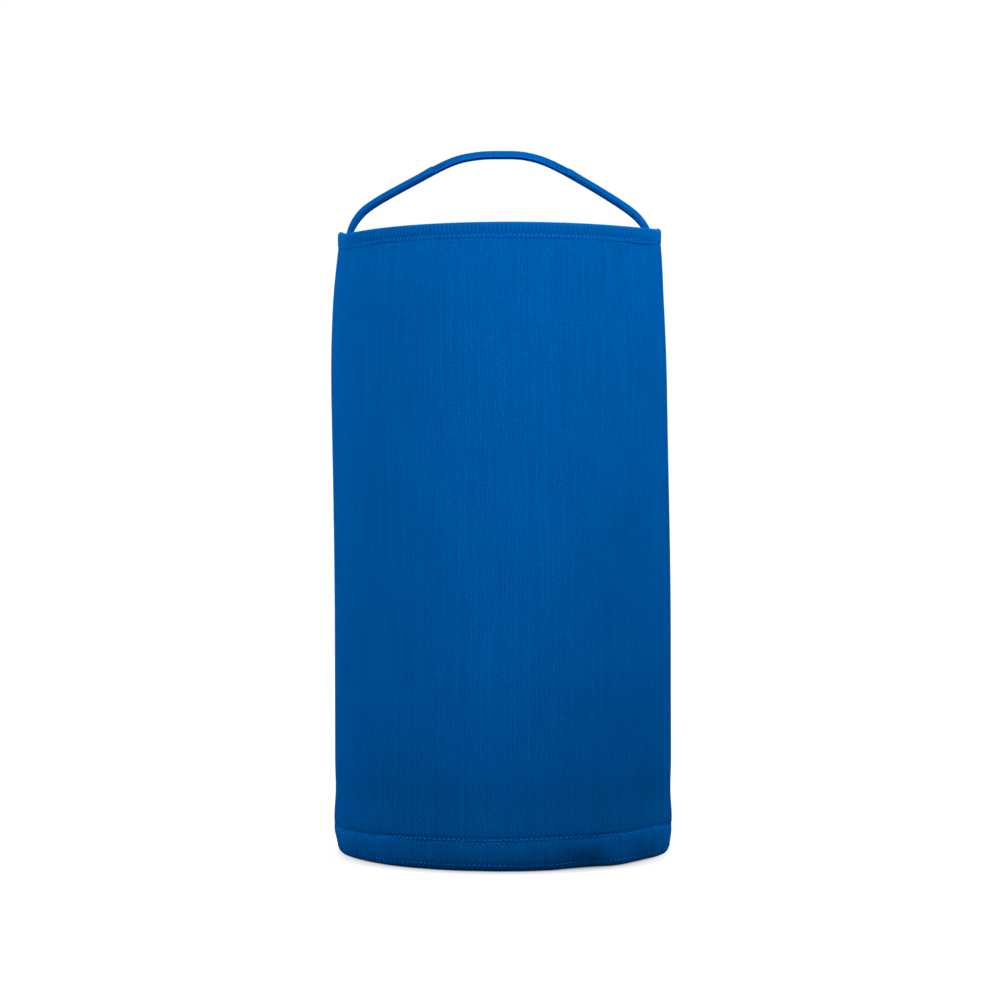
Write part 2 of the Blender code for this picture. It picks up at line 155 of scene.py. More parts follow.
def make_floor():
    """White paper that glows evenly, with a painted contact shadow: the glow is dimmed where ambient
    occlusion finds the object close by, less toward its two sides along X.
    """
    size = 6.0
    corners = [(-size, -size, 0), (size, -size, 0), (size, size, 0), (-size, size, 0)]
    mesh = bpy.data.meshes.new("floor")
    mesh.from_pydata(corners, [], [(0, 1, 2, 3)])
    floor = bpy.data.objects.new("floor", mesh)
    bpy.context.scene.collection.objects.link(floor)
    n = Nodes("floor_paper")
    # Painted contact shadow: ambient occlusion within 15 mm dims the paper's glow.
    contact = n.node("ShaderNodeAmbientOcclusion", samples=8)
    contact.inputs["Distance"].default_value = 15 * MM
    shade = n.math("SUBTRACT", 1.0, contact.outputs["AO"])
    split = n.node("ShaderNodeSeparateXYZ")
    n.link(n.place(), split.inputs[0])
    beside = n.math("DIVIDE", n.math("ABSOLUTE", split.outputs[0]), HEM_R)
    # The painted shadow fades off toward the two sides, down to 0.15 of its strength.
    share = n.math("MULTIPLY_ADD", n.math("POWER", beside, 8.0), -0.9, 1.0)
    shade = n.math("MULTIPLY", shade, n.math("MAXIMUM", share, 0.15))
    n.link(n.math("MULTIPLY_ADD", shade, -0.85, 1.05), n.shader.inputs["Emission Strength"])
    n.shader.inputs["Base Color"].default_value = (0.04, 0.04, 0.04, 1)
    n.shader.inputs["Roughness"].default_value = 0.9
    n.shader.inputs["Specular IOR Level"].default_value = 0.0
    n.shader.inputs["Emission Color"].default_value = (1, 1, 1, 1)
    mesh.materials.append(n.material)
    floor.visible_diffuse = False


# ------------------------------------------------------------------ mesh helpers

def link_mesh(name, mesh, material):
    mesh.shade_smooth()
    mesh.materials.append(material)
    obj = bpy.data.objects.new(name, mesh)
    bpy.context.scene.collection.objects.link(obj)
    return obj


def lattice(name, points, material, uv=None, wrap_u=False, wrap_v=False, caps=False):
    """A smooth grid of quads from points[u, v], with a UV map called cloth, in metres."""
    points = np.asarray(points, float)
    nu, nv = points.shape[:2]
    cu = nu if wrap_u else nu - 1
    cv = nv if wrap_v else nv - 1
    iu, iv = np.meshgrid(np.arange(cu), np.arange(cv), indexing="ij")
    ju, jv = (iu + 1) % nu, (iv + 1) % nv
    quads = np.stack([iu * nv + iv, ju * nv + iv, ju * nv + jv, iu * nv + jv], -1).reshape(-1, 4)
    faces = quads.tolist()
    if caps:
        faces.append(list(range(nv))[::-1])
        faces.append([(nu - 1) * nv + v for v in range(nv)])
    mesh = bpy.data.meshes.new(name)
    mesh.from_pydata(points.reshape(-1, 3).tolist(), [], faces)
    if uv is None:
        du = np.linalg.norm(np.diff(points, axis=0), axis=2).mean(axis=1)
        dv = np.linalg.norm(np.diff(points, axis=1), axis=2).mean(axis=0)
        us = np.concatenate([[0], np.cumsum(du), [np.sum(du) + du.mean()]])
        vs = np.concatenate([[0], np.cumsum(dv), [np.sum(dv) + dv.mean()]])
    else:
        us, vs = (np.asarray(values, float) for values in uv)
    corners = np.stack([us[np.stack([iu, iu + 1, iu + 1, iu], -1)],
                        vs[np.stack([iv, iv, iv + 1, iv + 1], -1)]], -1).reshape(-1)
    flat = np.zeros(2 * len(mesh.loops))
    flat[:len(corners)] = corners
    mesh.uv_layers.new(name="cloth").data.foreach_set("uv", flat.astype(np.float32))
    return link_mesh(name, mesh, material)


def joined(name, parts, material):
    """Several (points, faces) parts as one mesh object."""
    verts, faces = [], []
    for points, polygons in parts:
        offset = len(verts)
        verts.extend(points)
        faces.extend([[v + offset for v in polygon] for polygon in polygons])
    mesh = bpy.data.meshes.new(name)
    mesh.from_pydata(verts, [], faces)
    return link_mesh(name, mesh, material)


def thread(path, radius, up, sides=6, flat=0.8):
    """One stretch of thread: a closed tube along path, pinched at both ends."""
    path = np.asarray(path, float)
    count = len(path)
    tangent = np.gradient(path, axis=0)
    tangent /= np.linalg.norm(tangent, axis=1)[:, None]
    side = np.cross(tangent, up)
    side /= np.linalg.norm(side, axis=1)[:, None]
    out = np.cross(side, tangent)
    size = radius * np.sqrt(np.clip(1 - np.linspace(-1, 1, count) ** 8, 0.1, 1))
    a = TURN * np.arange(sides) / sides
    ring = np.cos(a)[None, :, None] * side[:, None] + flat * np.sin(a)[None, :, None] * out[:, None]
    points = (path[:, None] + size[:, None, None] * ring).reshape(-1, 3).tolist()
    faces = [[i * sides + k, i * sides + (k + 1) % sides,
              (i + 1) * sides + (k + 1) % sides, (i + 1) * sides + k]
             for i in range(count - 1) for k in range(sides)]
    faces.append(list(range(sides))[::-1])
    faces.append([(count - 1) * sides + k for k in range(sides)])
    return points, faces


def smooth_line(controls, count):
    """Count points at even spacing along a Catmull-Rom curve through the controls."""
    c = np.asarray(controls, float)
    c = np.concatenate([[2 * c[0] - c[1]], c, [2 * c[-1] - c[-2]]])
    t = np.linspace(0, 1, 24, endpoint=False)[:, None]
    pieces = []
    for p0, p1, p2, p3 in zip(c, c[1:], c[2:], c[3:]):
        pieces.append(0.5 * (2 * p1 + (p2 - p0) * t + (2 * p0 - 5 * p1 + 4 * p2 - p3) * t ** 2
                             + (3 * p1 - p0 - 3 * p2 + p3) * t ** 3))
    line = np.concatenate([*pieces, c[-2:-1]])
    along = np.concatenate([[0], np.cumsum(np.linalg.norm(np.diff(line, axis=0), axis=1))])
    even = np.linspace(0, along[-1], count)
    return np.stack([np.interp(even, along, line[:, k]) for k in range(line.shape[1])], -1)


def smoothstep(x, low, high):
    t = np.clip((np.asarray(x, float) - low) / (high - low), 0, 1)
    return t * t * (3 - 2 * t)


def bump(x, centre, width, power=2.0):
    return np.exp(-np.abs((np.asarray(x, float) - centre) / width) ** power)


def away(phi, centre):
    """Angle from centre, between minus and plus half a turn."""
    return (np.asarray(phi) - centre + TURN / 2) % TURN - TURN / 2


def waves(phi, entries):
    """Sum of bumps round the tube: (degrees from the front, size, half width in degrees)."""
    total = 0.0
    for degrees, size, width in entries:
        total = total + size * bump(away(phi, FRONT + math.radians(degrees)), 0, math.radians(width))
    return total


def soft_noise(phi, z, seed, cycles, rows):
    """Smooth noise of about unit size, periodic round the tube: a few sine waves."""
    draw = np.random.default_rng(seed)
    total = 0.0
    for _ in range(9):
        k = draw.integers(max(1, cycles // 3), cycles + 1)
        m = draw.uniform(-rows, rows)
        phase = draw.uniform(0, TURN)
        total = total + draw.uniform(0.5, 1) * np.sin(k * phi + m * TURN * z / RIM_Z + phase)
    return total / 3.2


def ring(count):
    return BACK + TURN * np.arange(count) / count


def ring_uv(count, radius):
    return TURN * radius * np.arange(count + 1) / count


# ------------------------------------------------------------------ form of the soft tube

# Creases in the shell over the gel's welds: degrees from the front at mid height, slant in
# radians per metre, depth in mm, half width in radians
CREASES = (
    (1.6, -0.15, 0.30, 0.026),
    (45.5, 0.0, 0.32, 0.040),
    (-33.0, -0.60, 0.30, 0.036),
    (134.0, 0.2, 0.28, 0.045),
    (-136.0, -0.2, 0.28, 0.045),
    (180.0, 0.0, 0.10, 0.06),
)
# Wavy stretches of the hem: degrees from the front, size in mm, half width in degrees
HEM_LINE_WAVES = ((20, 0.4, 11), (55, 0.5, 12), (-62, -1.6, 30), (90, -1.1, 15),
                  (140, 0.4, 15), (-130, 0.5, 20), (180, -0.4, 14))
HEM_EDGE_WAVES = ((27, -2.3, 8), (40, 0.5, 5), (53, -1.0, 8), (90, -1.0, 12),
                  (-55, -0.5, 12), (-90, -1.8, 17),
                  (120, -1.4, 10), (155, 0.5, 9), (-150, -1.2, 9), (-120, 0.4, 8))
HEM_LIFT_WAVES = ((28, 0.45, 8), (58, 0.2, 8), (120, 0.3, 9), (-150, 0.25, 8))


def lean(z):
    """X of the tube's middle at height z: the soft tube leans a little."""
    shift = 1.15 - 2.15 * smoothstep(z, 0.10, 0.27) + 0.5 * smoothstep(z, 0.262, 0.292)
    return shift * MM


def rim_lift(phi):
    """The handle's ends pull the rim up, the right one further."""
    right = 4.75 * bump(away(phi, RIGHT), 0, math.radians(22), 1.22)
    left = 3.85 * bump(away(phi, LEFT), 0, math.radians(14), 1.7)
    return (right + left - 0.3 + 0.45 * np.cos(phi)) * MM


def hem_line(phi):
    """Height of the hem's upper stitch line."""
    return HEM_TOP + (0.9 + waves(phi, HEM_LINE_WAVES)) * MM


def on_tube(phi, r, z):
    return np.stack([lean(z) + r * np.cos(phi), r * np.sin(phi), z + 0 * phi], -1)


def gel_share(z):
    """One over the gel pack, nothing at the hem and the mouth."""
    return smoothstep(z, 0.030, 0.055) * (1 - smoothstep(z, 0.256, 0.274))


def shell_radius(phi, z):
    base = BODY_R + 0.1 * MM - 3.3 * MM * np.clip((z - 0.215) / 0.0715, 0, 1.1) ** 2.2
    base = base - 0.35 * MM * bump(z, 0.0300, 0.008) + 0.30 * MM * (1 - smoothstep(z, 0.015, 0.027))
    creases = 0.0
    for degrees, slant, depth, width in CREASES:
        at = FRONT + math.radians(degrees) + slant * (z - 0.15)
        creases = creases + depth * bump(away(phi, at), 0, width)
    flat = -0.35 * MM * waves(phi, ((58, 1, 12), (-50, 0.6, 14), (110, 0.6, 14), (-140, 0.8, 16)))
    return base - creases * MM * gel_share(z) + flat + 0.12 * MM * soft_noise(phi, z, 3, 9, 2.5)


def cloth_pushed(points, pinned, pressure):
    """Where a light cloth simulation takes a tube of points[u, v] with some of them pinned."""
    scene = bpy.context.scene
    obj = lattice("cloth_trial", points, thread_material(), wrap_u=True)
    group = obj.vertex_groups.new(name="pins")
    group.add(np.flatnonzero(pinned.reshape(-1)).tolist(), 1.0, "REPLACE")
    cloth = obj.modifiers.new("cloth", "CLOTH")
    cloth.settings.vertex_group_mass = "pins"
    cloth.settings.effector_weights.gravity = 0.0
    cloth.settings.use_pressure = True
    cloth.settings.uniform_pressure_force = pressure
    cloth.settings.quality = 6
    cloth.settings.mass = 0.3
    cloth.settings.tension_stiffness = 25
    cloth.settings.compression_stiffness = 25
    cloth.settings.bending_stiffness = 0.8
    cloth.point_cache.frame_start = 1
    cloth.point_cache.frame_end = 20
    for step in range(1, 21):
        scene.frame_set(step)
    evaluated = obj.evaluated_get(bpy.context.evaluated_depsgraph_get())
    co = np.empty(3 * len(evaluated.data.vertices), np.float32)
    evaluated.data.vertices.foreach_get("co", co)
    scene.frame_set(1)
    mesh = obj.data
    bpy.data.objects.remove(obj)
    bpy.data.meshes.remove(mesh)
    return co.reshape(points.shape).astype(float)


def puffed(surface, low, high, pressure, cap):
    """How far gel pressure moves a quilted wall out, on a coarse grid that is pinned at its
    two ends and along the welds; returned as a function of angle and height."""
    around, rows = 16 * CELLS, 60
    phi, z = np.meshgrid(ring(around), np.linspace(low, high, rows), indexing="ij")
    r = surface(phi, z)
    points = on_tube(phi, r, z)
    pinned = np.zeros(phi.shape, bool)
    pinned[:, :2] = True
    pinned[:, -2:] = True
    pinned[::around // CELLS, :] = True
    moved = cloth_pushed(points, pinned, pressure)
    push = np.hypot(moved[..., 0] - lean(moved[..., 2]), moved[..., 1]) - r
    push = cap * np.tanh(push / cap)

    def at(p, height):
        u = ((p - BACK) / TURN % 1.0) * around
        v = np.clip((height - low) / (high - low), 0, 1) * (rows - 1)
        i, j = np.floor(u).astype(int), np.minimum(np.floor(v).astype(int), rows - 2)
        fu, fv = u - i, v - j
        i, k = i % around, (i + 1) % around
        return ((push[i, j] * (1 - fu) + push[k, j] * fu) * (1 - fv)
                + (push[i, j + 1] * (1 - fu) + push[k, j + 1] * fu) * fv)

    return at


# ------------------------------------------------------------------ materials

KNIT = (0.0, 0.112, 0.425)
LINING = (0.0, 0.072, 0.28)
STRAP = (0.0, 0.152, 0.555)
TAPE = (0.0, 0.163, 0.59)
THREAD = (0.004, 0.155, 0.58)


def scaled(colour, k):
    return tuple(min(1.0, c * k) for c in colour)


class Nodes:
    """Short forms for building one material's nodes."""

    def __init__(self, name):
        self.material = bpy.data.materials.new(name)
        self.material.use_nodes = True
        self.tree = self.material.node_tree
        self.shader = self.tree.nodes["Principled BSDF"]

    def node(self, kind, **values):
        made = self.tree.nodes.new(kind)
        for key, value in values.items():
            setattr(made, key, value)
        return made

    def link(self, source, socket):
        self.tree.links.new(source, socket)

    def math(self, operation, *values):
        made = self.node("ShaderNodeMath", operation=operation)
        for socket, value in zip(made.inputs, values):
            if hasattr(value, "node"):
                self.link(value, socket)
            else:
                socket.default_value = value
        return made.outputs[0]

    def stretched(self, vector, scale):
        made = self.node("ShaderNodeVectorMath", operation="MULTIPLY")
        self.link(vector, made.inputs[0])
        made.inputs[1].default_value = scale
        return made.outputs[0]

    def noise(self, vector, scale, detail=2.0, roughness=0.5):
        made = self.node("ShaderNodeTexNoise")
        made.inputs["Scale"].default_value = scale
        made.inputs["Detail"].default_value = detail
        made.inputs["Roughness"].default_value = roughness
        self.link(vector, made.inputs["Vector"])
        return made.outputs["Fac"]

    def tint(self, factor, dark, light):
        """A colour between dark and light, chosen by factor."""
        mix = self.node("ShaderNodeMix", data_type="RGBA")
        sockets = [s for s in mix.inputs if s.type == "RGBA"]
        self.link(factor, mix.inputs["Factor"])
        sockets[0].default_value = (*dark, 1)
        sockets[1].default_value = (*light, 1)
        return [s for s in mix.outputs if s.type == "RGBA"][0]

    def cloth(self):
        """U and V of the cloth map, in metres, and its vector."""
        uv = self.node("ShaderNodeUVMap", uv_map="cloth")
        split = self.node("ShaderNodeSeparateXYZ")
        self.link(uv.outputs[0], split.inputs[0])
        return split.outputs[0], split.outputs[1], uv.outputs[0]

    def place(self):
        return self.node("ShaderNodeTexCoord").outputs["Object"]

    def bump(self, height, distance):
        made = self.node("ShaderNodeBump")
        made.inputs["Distance"].default_value = distance
        self.link(height, made.inputs["Height"])
        self.link(made.outputs[0], self.shader.inputs["Normal"])

    def fabric(self, colour, roughness, sheen):
        inputs = self.shader.inputs
        self.link(colour, inputs["Base Color"])
        inputs["Roughness"].default_value = roughness
        inputs["Specular IOR Level"].default_value = 0.0
        inputs["Sheen Weight"].default_value = sheen
        inputs["Sheen Roughness"].default_value = 0.35
        inputs["Sheen Tint"].default_value = (0.0, 0.28, 1.0, 1.0)


def knit_material(name, colour, wale=WALE, course=COURSE, contrast=0.62, depth=0.14 * MM, sheen=0.015,
                  painted_groove_shade=0.0):
    """Weft knit: upright columns of chevron loops, each column half a loop out of step. Given a
    strength, it also paints shade into the rib valleys marked on the mesh.
    """
    n = Nodes(name)
    u, v, vector = n.cloth()
    across = n.math("DIVIDE", u, wale)
    column = n.math("FLOOR", across)
    side = n.math("ABSOLUTE", n.math("SUBTRACT", n.math("SUBTRACT", across, column), 0.5))
    odd = n.math("MULTIPLY", n.math("MODULO", column, 2.0), 0.5)
    along = n.math("ADD", n.math("DIVIDE", v, course), odd)
    along = n.math("ADD", along, n.math("MULTIPLY", side, 0.75))
    loop = n.math("MULTIPLY_ADD", n.math("COSINE", n.math("MULTIPLY", along, TURN)), 0.5, 0.5)
    ridge = n.math("MULTIPLY_ADD", n.math("POWER", n.math("MULTIPLY", side, 2.0), 2.2), -0.8, 1.0)
    height = n.math("MULTIPLY", n.math("MULTIPLY_ADD", loop, 0.85, 0.15), ridge)
    fuzz = n.noise(vector, 4200.0, 3.0, 0.6)
    height = n.math("MULTIPLY_ADD", fuzz, 0.16, height)
    streaks = n.noise(n.stretched(vector, (420.0, 16.0, 1.0)), 1.0, 3.0, 0.6)
    patches = n.noise(vector, 34.0, 3.0, 0.5)
    shade = n.math("MULTIPLY_ADD", height, 0.78, n.math("MULTIPLY", streaks, 0.34))
    shade = n.math("ADD", shade, n.math("MULTIPLY_ADD", patches, 0.16, -0.14))
    # Painted shade: the colour darkens by the marked valley depth, standing in for the shade in the rib
    # grooves.
    if painted_groove_shade:
        groove_shade_mask = n.node("ShaderNodeAttribute", attribute_name="painted_groove_shade").outputs["Fac"]
        shade = n.math("MULTIPLY_ADD", groove_shade_mask, -painted_groove_shade, shade)
    dark, light = scaled(colour, 1 - contrast), scaled(colour, 1 + 0.6 * contrast)
    n.fabric(n.tint(shade, dark, light), 0.88, sheen)
    n.bump(height, depth)
    return n.material


def rib_material(name, colour, pitch=0.62 * MM, contrast=0.25, depth=0.10 * MM, slant=0.0):
    """Fine ribs across the cloth map's U, slanted by slant."""
    n = Nodes(name)
    u, v, vector = n.cloth()
    line = n.math("DIVIDE", n.math("MULTIPLY_ADD", v, slant, u), pitch)
    wave = n.math("MULTIPLY_ADD", n.math("COSINE", n.math("MULTIPLY", line, TURN)), 0.5, 0.5)
    cross = n.math("COSINE", n.math("MULTIPLY", n.math("DIVIDE", v, 0.8 * pitch), TURN))
    height = n.math("MULTIPLY_ADD", cross, 0.15, wave)
    fuzz = n.noise(vector, 3800.0, 3.0, 0.6)
    height = n.math("MULTIPLY_ADD", fuzz, 0.25, height)
    patches = n.noise(vector, 150.0, 3.0, 0.5)
    shade = n.math("MULTIPLY_ADD", height, 0.6, n.math("MULTIPLY", patches, 0.4))
    n.fabric(n.tint(shade, scaled(colour, 1 - contrast), scaled(colour, 1 + 0.5 * contrast)), 0.85, 0.0)
    n.bump(height, depth)
    return n.material


_made_threads = {}


def thread_material(name="sewing_thread", colour=THREAD):
    """Twisted thread: fine ripples and a slight sheen."""
    if name in _made_threads:
        return _made_threads[name]
    n = Nodes(name)
    place = n.place()
    fuzz = n.noise(place, 5200.0, 2.0, 0.6)
    drift = n.noise(place, 160.0, 2.0, 0.5)
    shade = n.math("MULTIPLY_ADD", fuzz, 0.6, n.math("MULTIPLY", drift, 0.4))
    n.fabric(n.tint(shade, scaled(colour, 0.7), scaled(colour, 1.25)), 0.6, 0.05)
    n.bump(fuzz, 0.08 * MM)
    _made_threads[name] = n.material
    return n.material


def brushed_material(name, colour):
    """Brushed lining: soft nap over faint upright knit columns."""
    n = Nodes(name)
    u, _, vector = n.cloth()
    nap = n.noise(n.stretched(vector, (2600.0, 1500.0, 1.0)), 1.0, 4.0, 0.65)
    wale = n.math("MULTIPLY_ADD", n.math("COSINE", n.math("MULTIPLY", u, TURN / WALE)), 0.5, 0.5)
    clouds = n.noise(vector, 70.0, 4.0, 0.55)
    height = n.math("MULTIPLY_ADD", wale, 0.3, nap)
    columns = n.math("MULTIPLY", wale, 0.15)
    shade = n.math("MULTIPLY_ADD", nap, 0.45, n.math("MULTIPLY_ADD", clouds, 0.45, columns))
    n.fabric(n.tint(shade, scaled(colour, 0.65), scaled(colour, 1.35)), 0.95, 0.25)
    n.bump(height, 0.18 * MM)
    return n.material


def elastic_material():
    n = Nodes("braided_elastic")
    place = n.place()
    split = n.node("ShaderNodeSeparateXYZ")
    n.link(place, split.inputs[0])
    angle = n.math("ARCTAN2", split.outputs[1], split.outputs[0])
    braid = n.math("COSINE", n.math("MULTIPLY", angle, 420.0))
    bars = n.math("COSINE", n.math("MULTIPLY", split.outputs[2], TURN / (0.7 * MM)))
    height = n.math("MULTIPLY_ADD", n.math("MULTIPLY", braid, bars), 0.5, 0.5)
    n.link(n.tint(height, (0.62, 0.62, 0.60), (0.88, 0.88, 0.85)), n.shader.inputs["Base Color"])
    n.shader.inputs["Roughness"].default_value = 0.7
    n.bump(height, 0.12 * MM)
    return n.material


def film_material():
    """Thin clear film, a little cloudy, with fine wrinkles."""
    n = Nodes("clear_film")
    place = n.place()
    haze = n.noise(place, 60.0, 3.0, 0.5)
    wrinkles = n.noise(place, 320.0, 3.0, 0.6)
    n.link(n.tint(haze, (0.62, 0.74, 0.84), (0.80, 0.88, 0.93)), n.shader.inputs["Base Color"])
    n.shader.inputs["Roughness"].default_value = 0.25
    n.shader.inputs["Transmission Weight"].default_value = 0.6
    n.shader.inputs["IOR"].default_value = 1.45
    n.bump(wrinkles, 0.25 * MM)
    return n.material


def gel_material():
    """Soft blue gel with faint clouds and small bubbles."""
    n = Nodes("cold_gel")
    place = n.place()
    clouds = n.noise(place, 45.0, 4.0, 0.55)
    bubbles = n.node("ShaderNodeTexVoronoi")
    bubbles.inputs["Scale"].default_value = 260.0
    n.link(place, bubbles.inputs["Vector"])
    dots = n.math("LESS_THAN", bubbles.outputs["Distance"], 0.16)
    shade = n.math("MULTIPLY_ADD", dots, 0.4, clouds)
    n.link(n.tint(shade, (0.03, 0.18, 0.48), (0.14, 0.42, 0.74)), n.shader.inputs["Base Color"])
    n.shader.inputs["Roughness"].default_value = 0.2
    n.shader.inputs["Subsurface Weight"].default_value = 0.3
    n.shader.inputs["Subsurface Radius"].default_value = (0.002, 0.004, 0.008)
    n.bump(clouds, 0.4 * MM)
    return n.material


# ------------------------------------------------------------------ shell, hem and mouth

def rides(piece, body, slot, *nodes):
    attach(piece, body)
    if nodes:
        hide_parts(*nodes)


def make_shell():
    around = 2 * HEM_STITCHES
    low, high = HEM_TOP - 4 * MM, SHELL_END + 0.5 * MM
    rows = np.concatenate([np.linspace(low, 19 * MM, 26), np.linspace(20.5 * MM, 280 * MM, 158),
                           np.linspace(280.7 * MM, high, 14)])
    p, z = np.meshgrid(ring(around), rows, indexing="ij")
    puff = puffed(shell_radius, 0.036, 0.268, 1.2, 0.55 * MM)
    r = shell_radius(p, z) + puff(p, z) * gel_share(z)
    line = hem_line(p)
    r = r - 1.6 * MM * (1 - smoothstep(z, line - 1.6 * MM, line - 0.1 * MM)) ** 2
    pleat = 0.5 + 0.5 * np.cos(HEM_STITCHES * (p - BACK))
    r = r - (0.10 + 0.26 * pleat * facing(p)) * MM * bump(z, line + 0.15 * MM, 0.42 * MM)
    bottom = BIND_BOTTOM - 1 * MM
    r = r - 0.7 * MM * smoothstep(z, bottom + 0.1 * MM, bottom + 0.8 * MM)
    lifted = z + rim_lift(p) * smoothstep(z, 0.245, bottom)
    shell = lattice("knit_shell", on_tube(p, r, lifted), knit_material("shell_knit", KNIT),
                    (ring_uv(around, BODY_R), z[0]), wrap_u=True)
    rides(shell, "sleeve", "shell_knit", "outer_shell")


def facing(phi):
    """One at the front and the back, nothing toward the two sides."""
    return smoothstep(np.abs(np.sin(phi)), 0.35, 0.75)


def standing(phi):
    """How far the hem's upper stitches stand proud: buried toward the two sides."""
    return smoothstep(np.abs(np.sin(phi)), 0.70, 0.86)


def clear_of_handle(phi, start, stop):
    """Nothing within start degrees of either end of the handle, one beyond stop degrees."""
    share = 1.0
    for side in (LEFT, RIGHT):
        share = share * smoothstep(np.abs(away(phi, side)), math.radians(start), math.radians(stop))
    return share


def ribbed(phi):
    """One where the mouth is gathered into ribs, nothing by the two ends of the handle."""
    return clear_of_handle(phi, 18, 27)


def dashed(phi):
    """One where the mouth's dashes show, nothing for a wider stretch by the handle."""
    return clear_of_handle(phi, 33, 42)


def make_hem():
    """A knit band folded under: outer face, rolled foot and inner face in one strip."""
    per_stitch = 6
    count = HEM_STITCHES * per_stitch
    phi = ring(count)
    outline = smooth_line((
        (79.9, 13.2), (80.5, 14.6), (81.15, 14.3), (81.4, 13.2), (81.5, 10.0), (81.45, 6.5),
        (81.3, 3.9), (81.1, 2.9), (81.05, 2.0), (80.6, 0.9), (79.6, 0.2), (77.8, 0.0), (76.9, 0.3),
        (76.45, 1.6), (76.4, 6.0), (76.4, 11.5), (76.5, 13.6), (77.1, 14.2)), 40) * MM
    radius, height = outline[:, 0], outline[:, 1]
    p, r = np.meshgrid(phi, radius, indexing="ij")
    z = np.broadcast_to(height, p.shape)
    outside = smoothstep(r, 78.0 * MM, 79.5 * MM)
    top = smoothstep(z, 3 * MM, HEM_TOP)
    low = 1 - smoothstep(z, 1 * MM, 11 * MM)
    rise = hem_line(p) - (HEM_TOP + 0.5 * MM)
    push = waves(p, HEM_EDGE_WAVES) * MM * (0.15 + 0.85 * low)
    stitch = 0.5 + 0.5 * np.cos(HEM_STITCHES * (p - BACK))
    pull = 0.25 * stitch * bump(z, 13.7 * MM, 0.7 * MM) + 0.25 * stitch * bump(z, 2.7 * MM, 0.8 * MM)
    ripple = 0.12 * soft_noise(p, z, 5, 40, 4.0)
    r = r + push + (ripple - pull) * MM * outside
    z = z + rise * top + waves(p, HEM_LIFT_WAVES) * MM * low * smoothstep(r, 75 * MM, 79 * MM)
    v = np.concatenate([[0], np.cumsum(np.hypot(np.diff(radius), np.diff(height)))])
    # Painted light: the hem is the shell's knit made 1.18 times lighter, standing in for light that
    # falls short down by the floor.
    cloth = knit_material("hem_knit", scaled(KNIT, 1.18))
    hem = lattice("stitched_hem", on_tube(p, r, z)[:, ::-1], cloth,
                  (ring_uv(count, BODY_R), v), wrap_u=True)
    rides(hem, "sleeve", "hem_knit", "bottom_hem")


def make_binding():
    """A knit strip gathered into ribs and folded over the mouth's edge."""
    per_rib = 8
    count = RIBS * per_rib
    phi = ring(count)
    outline = smooth_line((
        (76.6, 286.9), (77.1, 286.3), (77.5, 286.5), (77.65, 287.4), (77.7, 288.6), (77.95, 289.6),
        (78.1, 291.0), (78.05, 292.6), (77.75, 293.7), (76.9, 294.25), (75.9, 294.2), (75.0, 293.7),
        (74.65, 292.4), (74.6, 290.0), (74.55, 287.0), (74.75, 286.2), (75.2, 286.4)), 36) * MM
    radius, height = outline[:, 0], outline[:, 1]
    p, r = np.meshgrid(phi, radius, indexing="ij")
    z = np.broadcast_to(height, p.shape)
    outer = smoothstep(r, 76.9 * MM, 77.5 * MM)
    inner = 1 - smoothstep(r, 74.7 * MM, 75.4 * MM)
    foot = (288.4 - 1.3 * (1 - dashed(p))) * MM
    face = outer * smoothstep(z, foot, foot + 1 * MM) * (1 - 0.7 * smoothstep(z, 292.8 * MM, 293.9 * MM))
    jitter = 0.5 * soft_noise(p, 0.0, 8, 60, 0.0) + 0.35 * (z - 0.291) / (3 * MM)
    valley = (1 - np.abs(np.cos(0.5 * RIBS * (p - BACK) + jitter))) ** 1.3
    size = (0.50 + 0.10 * soft_noise(p, 0.0, 9, 50, 0.0)) * MM
    groove = valley * (face + 0.4 * inner) * ribbed(p)
    r = r - size * groove + 0.12 * MM * face
    r = r + 0.28 * MM * (1 - dashed(p)) * outer * (1 - smoothstep(z, 287.5 * MM, 291 * MM))
    knob = bump(away(p, LEFT), 0, 0.17, 3) + bump(away(p, RIGHT), 0, 0.15, 3)
    r = r - 0.15 * MM * knob * outer * smoothstep(z, 288 * MM, 290.5 * MM)
    down = 1 - smoothstep(z, 286.5 * MM, 293.5 * MM)
    z = z + rim_lift(p) * (1 - inner * down)
    v = np.concatenate([[0], np.cumsum(np.hypot(np.diff(radius), np.diff(height)))])
    # The binding's colour carries painted shade in its rib valleys.
    cloth = knit_material("gathered_knit", scaled(KNIT, 1.04), contrast=0.40, depth=0.10 * MM, painted_groove_shade=0.22)
    binding = lattice("gathered_binding", on_tube(p, r, z), cloth,
                      (ring_uv(count, BIND_R), v), wrap_u=True)
    # The rib valleys' depth, kept on the mesh for the painted shade in the grooves.
    painted_groove_shade = binding.data.attributes.new("painted_groove_shade", "FLOAT", "POINT")
    painted_groove_shade.data.foreach_set("value", groove.reshape(-1))
    rides(binding, "sleeve", "gathered_binding", "top_binding")


def stitch_row(name, node, count, radius, height, length, slant, size, start=0.0, share=None):
    """Separate stitches round the tube; slant is how far one climbs from left to right."""
    parts = []
    for i in range(count):
        phi = BACK + TURN * (i + start) / count
        if share is not None and share(phi) < 0.3:
            continue
        t = np.linspace(-1, 1, 7)
        p = phi + t * 0.5 * length / radius(phi)
        r = radius(phi) + (0.55 - 1.1 * np.abs(t) ** 3) * size
        z = height(phi) + 0.5 * slant * t
        parts.append(thread(on_tube(p, r, z), size, (math.cos(phi), math.sin(phi), 0.0)))
    row = joined(name, parts, thread_material())
    rides(row, "sleeve", "thread", node)


